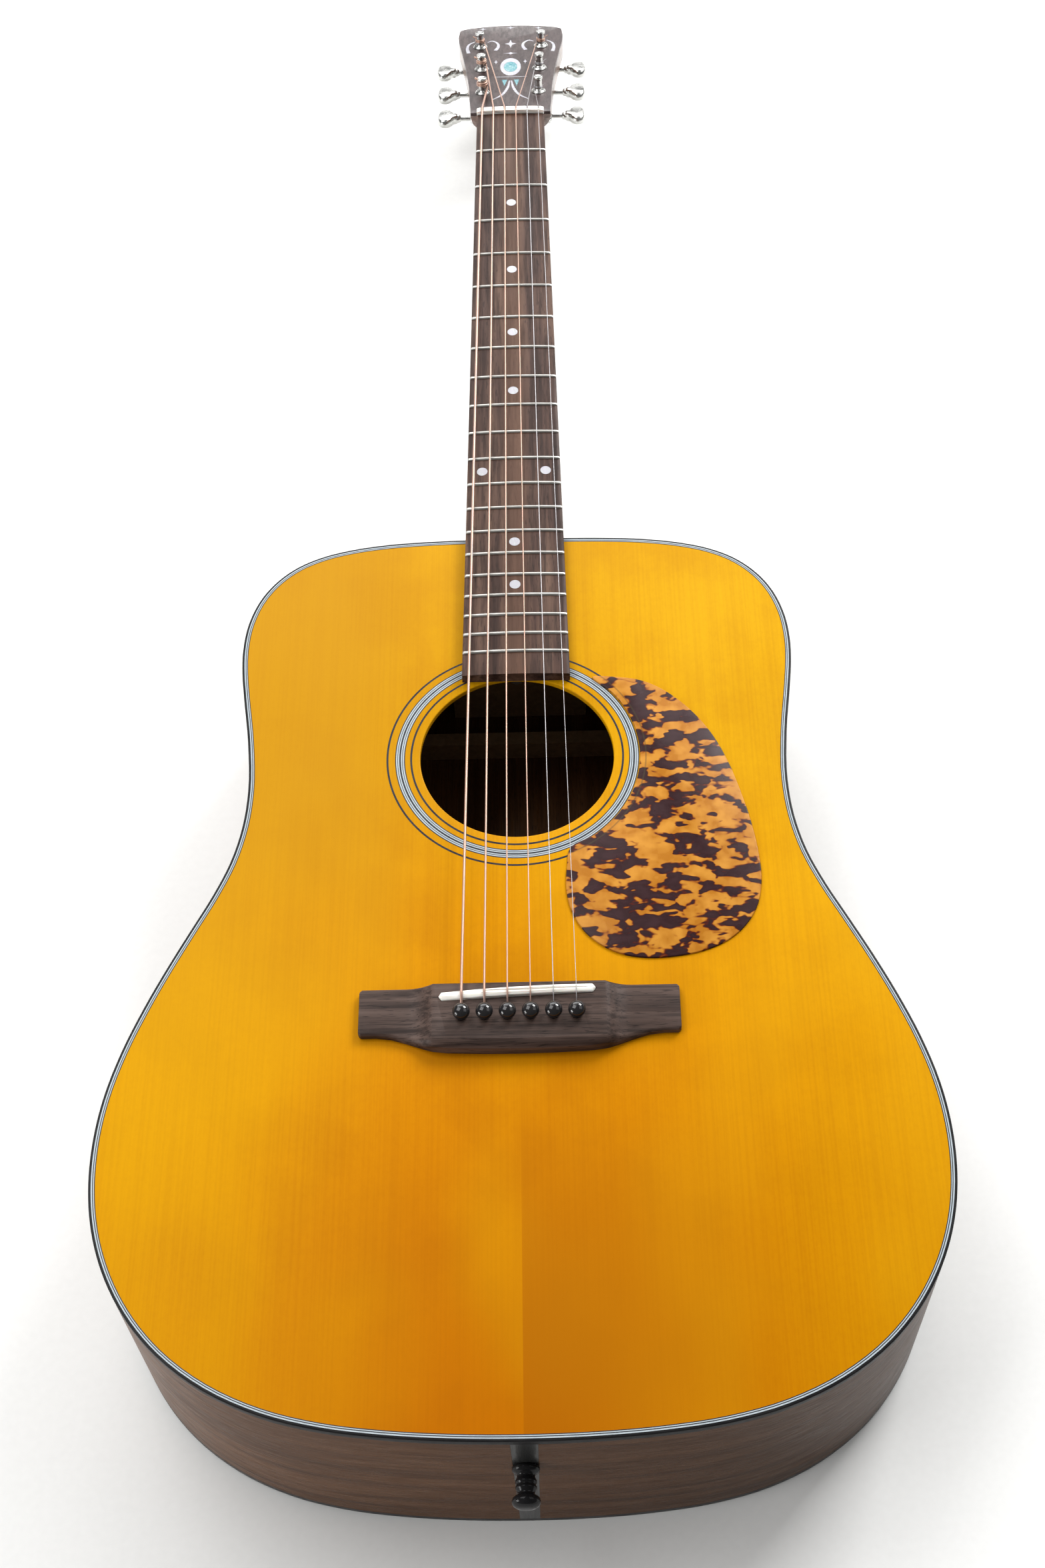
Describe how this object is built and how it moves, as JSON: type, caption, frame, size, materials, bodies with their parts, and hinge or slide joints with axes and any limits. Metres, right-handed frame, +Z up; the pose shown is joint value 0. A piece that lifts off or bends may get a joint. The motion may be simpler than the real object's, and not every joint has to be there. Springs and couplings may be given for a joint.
{
  "type": "acoustic guitar",
  "caption": "Steel-string acoustic guitar with a dreadnought body, round soundhole, pickguard, belly bridge, fretted neck and slanted-back headstock with geared tuners.",
  "frame": {"origin": "centre of the footprint of the guitar lying on its back, on the surface under it", "axes": "+Y along the neck towards the headstock, +X towards the treble side, +Z up, out of the soundboard"},
  "size_m": [0.3958, 1.0288, 0.1281],
  "materials": {
    "spruce_top": "high gloss lacquer over amber spruce",
    "dark_body_wood": "gloss lacquer",
    "neck_wood": "satin lacquer",
    "rosewood": "oiled, open grain",
    "head_veneer": "gloss lacquer",
    "raw_wood": "unfinished",
    "black_plastic": "polished",
    "tortoise_plastic": "polished",
    "bone": "satin",
    "nickel": "polished",
    "rod_steel": "plain",
    "bronze_wound": "wound bronze",
    "plain_steel": "drawn wire"
  },
  "bodies": {
    "root": {"soundboard": "spruce_top", "back_plate": "dark_body_wood", "side_bass": "dark_body_wood", "side_treble": "dark_body_wood", "end_graft": "black_plastic", "top_binding": "black_plastic", "back_binding": "black_plastic", "neck_block": "raw_wood", "tail_block": "raw_wood", "top_lining": "raw_wood", "back_lining": "raw_wood", "x_brace": "raw_wood", "upper_transverse_brace": "raw_wood", "tone_bar_long": "raw_wood", "tone_bar_short": "raw_wood", "bridge_plate": "raw_wood", "back_brace_1": "raw_wood", "back_brace_2": "raw_wood", "back_brace_3": "raw_wood", "back_brace_4": "raw_wood", "pickguard": "tortoise_plastic", "bridge": "rosewood", "saddle": "bone", "nut": "bone", "fretboard": "rosewood", "neck": "neck_wood", "headstock_veneer": "head_veneer", "end_pin": "black_plastic", "heel_cap": "black_plastic", "bridge_pin_1": "black_plastic", "bridge_pin_2": "black_plastic", "bridge_pin_3": "black_plastic", "bridge_pin_4": "black_plastic", "bridge_pin_5": "black_plastic", "bridge_pin_6": "black_plastic", "string_1": "plain_steel", "string_2": "plain_steel", "string_3": "bronze_wound", "string_4": "bronze_wound", "string_5": "bronze_wound", "string_6": "bronze_wound", "tuner_plate_1": "nickel", "tuner_plate_2": "nickel", "tuner_plate_3": "nickel", "tuner_plate_4": "nickel", "tuner_plate_5": "nickel", "tuner_plate_6": "nickel"},
    "button_1": {"tuner_button_1": "nickel"},
    "post_1": {"tuner_post_1": "nickel"},
    "button_2": {"tuner_button_2": "nickel"},
    "post_2": {"tuner_post_2": "nickel"},
    "button_3": {"tuner_button_3": "nickel"},
    "post_3": {"tuner_post_3": "nickel"},
    "button_4": {"tuner_button_4": "nickel"},
    "post_4": {"tuner_post_4": "nickel"},
    "button_5": {"tuner_button_5": "nickel"},
    "post_5": {"tuner_post_5": "nickel"},
    "button_6": {"tuner_button_6": "nickel"},
    "post_6": {"tuner_post_6": "nickel"},
    "truss_rod": {"truss_rod": "rod_steel"}
  },
  "joints": [
    {"name": "tuner_1_button_turn", "type": "hinge", "parent": "root", "child": "button_1", "pos_m": [0.0186, 0.40622, 0.05734], "axis": [1, 0, 0], "continuous": true},
    {"name": "tuner_1_post_turn", "type": "hinge", "parent": "root", "child": "post_1", "pos_m": [0.0186, 0.40494, 0.07938], "axis": [0, 0.2803, 0.9599], "continuous": true},
    {"name": "tuner_2_button_turn", "type": "hinge", "parent": "root", "child": "button_2", "pos_m": [0.0196, 0.44279, 0.04666], "axis": [1, 0, 0], "continuous": true},
    {"name": "tuner_2_post_turn", "type": "hinge", "parent": "root", "child": "post_2", "pos_m": [0.0196, 0.44151, 0.0687], "axis": [0, 0.2803, 0.9599], "continuous": true},
    {"name": "tuner_3_button_turn", "type": "hinge", "parent": "root", "child": "button_3", "pos_m": [0.021, 0.47936, 0.03598], "axis": [1, 0, 0], "continuous": true},
    {"name": "tuner_3_post_turn", "type": "hinge", "parent": "root", "child": "post_3", "pos_m": [0.021, 0.47809, 0.05802], "axis": [0, 0.2803, 0.9599], "continuous": true},
    {"name": "tuner_4_button_turn", "type": "hinge", "parent": "root", "child": "button_4", "pos_m": [-0.021, 0.47936, 0.03598], "axis": [1, 0, 0], "continuous": true},
    {"name": "tuner_4_post_turn", "type": "hinge", "parent": "root", "child": "post_4", "pos_m": [-0.021, 0.47809, 0.05802], "axis": [0, 0.2803, 0.9599], "continuous": true},
    {"name": "tuner_5_button_turn", "type": "hinge", "parent": "root", "child": "button_5", "pos_m": [-0.0196, 0.44279, 0.04666], "axis": [1, 0, 0], "continuous": true},
    {"name": "tuner_5_post_turn", "type": "hinge", "parent": "root", "child": "post_5", "pos_m": [-0.0196, 0.44151, 0.0687], "axis": [0, 0.2803, 0.9599], "continuous": true},
    {"name": "tuner_6_button_turn", "type": "hinge", "parent": "root", "child": "button_6", "pos_m": [-0.0186, 0.40622, 0.05734], "axis": [1, 0, 0], "continuous": true},
    {"name": "tuner_6_post_turn", "type": "hinge", "parent": "root", "child": "post_6", "pos_m": [-0.0186, 0.40494, 0.07938], "axis": [0, 0.2803, 0.9599], "continuous": true},
    {"name": "truss_rod_nut_turn", "type": "hinge", "parent": "root", "child": "truss_rod", "pos_m": [0, 0.00758, 0.09343], "axis": [0, 0.9992, -0.0398], "range_deg": [-180, 180]}
  ],
  "couplings": [
    {"joint": "tuner_1_post_turn", "follows": "tuner_1_button_turn", "ratio": 0.0625},
    {"joint": "tuner_2_post_turn", "follows": "tuner_2_button_turn", "ratio": 0.0625},
    {"joint": "tuner_3_post_turn", "follows": "tuner_3_button_turn", "ratio": 0.0625},
    {"joint": "tuner_4_post_turn", "follows": "tuner_4_button_turn", "ratio": 0.0625},
    {"joint": "tuner_5_post_turn", "follows": "tuner_5_button_turn", "ratio": 0.0625},
    {"joint": "tuner_6_post_turn", "follows": "tuner_6_button_turn", "ratio": 0.0625}
  ]
}
